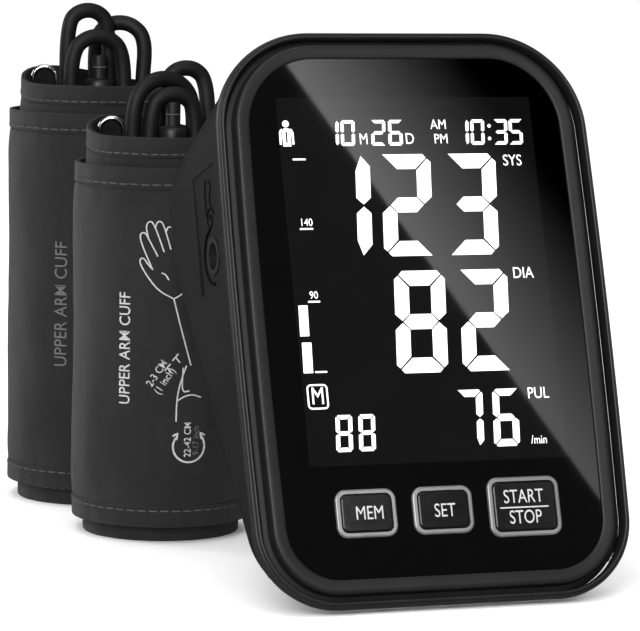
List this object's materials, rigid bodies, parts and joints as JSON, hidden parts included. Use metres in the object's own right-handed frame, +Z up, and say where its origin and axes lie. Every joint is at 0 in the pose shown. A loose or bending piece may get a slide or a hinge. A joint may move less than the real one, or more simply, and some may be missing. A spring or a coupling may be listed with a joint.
{
  "type": "upper arm blood pressure monitor",
  "caption": "Wedge-shaped desktop blood pressure monitor with a large tilted display and framed push buttons, standing in front of rolled fabric arm cuffs with folded air hoses.",
  "frame": {"origin": "on the floor, under the middle of the whole object without its hoses", "axes": "+X to the monitor's right, -Y the way its face looks, +Z up"},
  "size_m": [0.1352, 0.2412, 0.1658],
  "materials": {
    "case_black": "fine satin texture",
    "bezel_grey": "fine matte",
    "trim_grey": "satin",
    "window_black": "polished",
    "lcd_glass": "polished",
    "clear_plastic": "clear",
    "white_plastic": "moulded",
    "button_chrome": "bright",
    "button_gloss": "polished",
    "inner_plastic": "moulded",
    "circuit_board": "solder mask",
    "jack_plastic": "moulded",
    "motor_metal": "plated",
    "steel": "plated",
    "soft_rubber": "matte",
    "cell_metal": "satin sleeve",
    "cuff_fabric": "coated nylon weave",
    "lining_fabric": "nylon weave",
    "bladder_rubber": "matte",
    "loop_fabric": "looped pile",
    "hook_fabric": "hook pile",
    "ring_chrome": "bright",
    "hose_rubber": "smooth matte"
  },
  "bodies": {
    "monitor": {"rear_cover": "case_black", "front_housing": "bezel_grey", "trim_ring": "trim_grey", "display_window": "window_black", "lcd_panel": "lcd_glass", "backlight_guide": "clear_plastic", "lcd_holder": "white_plastic", "button_ring_mem": "button_chrome", "button_ring_set": "button_chrome", "button_ring_start": "button_chrome", "button_switches": "inner_plastic", "main_board": "circuit_board", "processor_chip": "inner_plastic", "buzzer": "inner_plastic", "pressure_sensor": "inner_plastic", "port_plate": "case_black", "air_jack": "jack_plastic", "pump_motor": "motor_metal", "pump_head": "white_plastic", "pump_bracket": "soft_rubber", "exhaust_valve": "motor_metal", "air_manifold": "white_plastic", "air_tubes": "soft_rubber", "battery_tray": "case_black", "battery_1": "cell_metal", "battery_2": "cell_metal", "battery_3": "cell_metal", "battery_4": "cell_metal", "battery_contacts": "steel", "housing_screws": "steel", "rubber_feet": "soft_rubber"},
    "mem_button": {"button_mem": "button_gloss"},
    "set_button": {"button_set": "button_gloss"},
    "start_button": {"button_start": "button_gloss"},
    "battery_lid": {"battery_door": "case_black"},
    "pump_rotor": {"pump_shaft": "steel"},
    "valve_pin": {"valve_plunger": "steel"},
    "front_cuff": {"front_cuff_lining": "lining_fabric", "front_cuff_bladder": "bladder_rubber", "front_cuff_cover": "cuff_fabric", "front_cuff_loop_patch": "loop_fabric", "front_cuff_hook_patch": "hook_fabric", "front_cuff_ring_sleeve": "cuff_fabric", "front_hose_port": "jack_plastic", "front_hose_hank": "hose_rubber", "front_air_plug": "jack_plastic"},
    "front_ring": {"front_cuff_ring": "ring_chrome"},
    "rear_cuff": {"rear_cuff_lining": "lining_fabric", "rear_cuff_bladder": "bladder_rubber", "rear_cuff_cover": "cuff_fabric", "rear_cuff_loop_patch": "loop_fabric", "rear_cuff_hook_patch": "hook_fabric", "rear_cuff_ring_sleeve": "cuff_fabric", "rear_hose_port": "jack_plastic", "rear_hose_hank": "hose_rubber", "rear_air_plug": "jack_plastic"},
    "rear_ring": {"rear_cuff_ring": "ring_chrome"}
  },
  "joints": [
    {"name": "mem_press", "type": "slide", "parent": "monitor", "child": "mem_button", "axis": [0, 0.9432, -0.3322], "range_m": [0, 0.0008], "stiffness_N_per_m": 2000},
    {"name": "set_press", "type": "slide", "parent": "monitor", "child": "set_button", "axis": [0, 0.9432, -0.3322], "range_m": [0, 0.0008], "stiffness_N_per_m": 2000},
    {"name": "start_press", "type": "slide", "parent": "monitor", "child": "start_button", "axis": [0, 0.9432, -0.3322], "range_m": [0, 0.0008], "stiffness_N_per_m": 2000},
    {"name": "battery_lid_hinge", "type": "hinge", "parent": "monitor", "child": "battery_lid", "pos_m": [0.02165, -0.07248, 0.04398], "axis": [-1, 0, 0], "range_deg": [0, 75]},
    {"name": "pump_spin", "type": "hinge", "parent": "monitor", "child": "pump_rotor", "pos_m": [0.02965, -0.03766, 0.12526], "axis": [1, 0, 0], "continuous": true},
    {"name": "valve_stroke", "type": "slide", "parent": "monitor", "child": "valve_pin", "axis": [1, 0, 0], "range_m": [0, 0.0006], "stiffness_N_per_m": 400},
    {"name": "front_cuff_set_aside", "type": "slide", "parent": "monitor", "child": "front_cuff", "axis": [-1, 0, 0], "range_m": [0, 0.1]},
    {"name": "front_ring_swing", "type": "hinge", "parent": "front_cuff", "child": "front_ring", "pos_m": [-0.0544, 0.03192, 0.06], "axis": [0, 0, 1], "range_deg": [0, 20]},
    {"name": "rear_cuff_set_aside", "type": "slide", "parent": "monitor", "child": "rear_cuff", "axis": [-1, 0, 0], "range_m": [0, 0.1]},
    {"name": "rear_ring_swing", "type": "hinge", "parent": "rear_cuff", "child": "rear_ring", "pos_m": [-0.0585, 0.09952, 0.06], "axis": [0, 0, 1], "range_deg": [0, 20]}
  ]
}
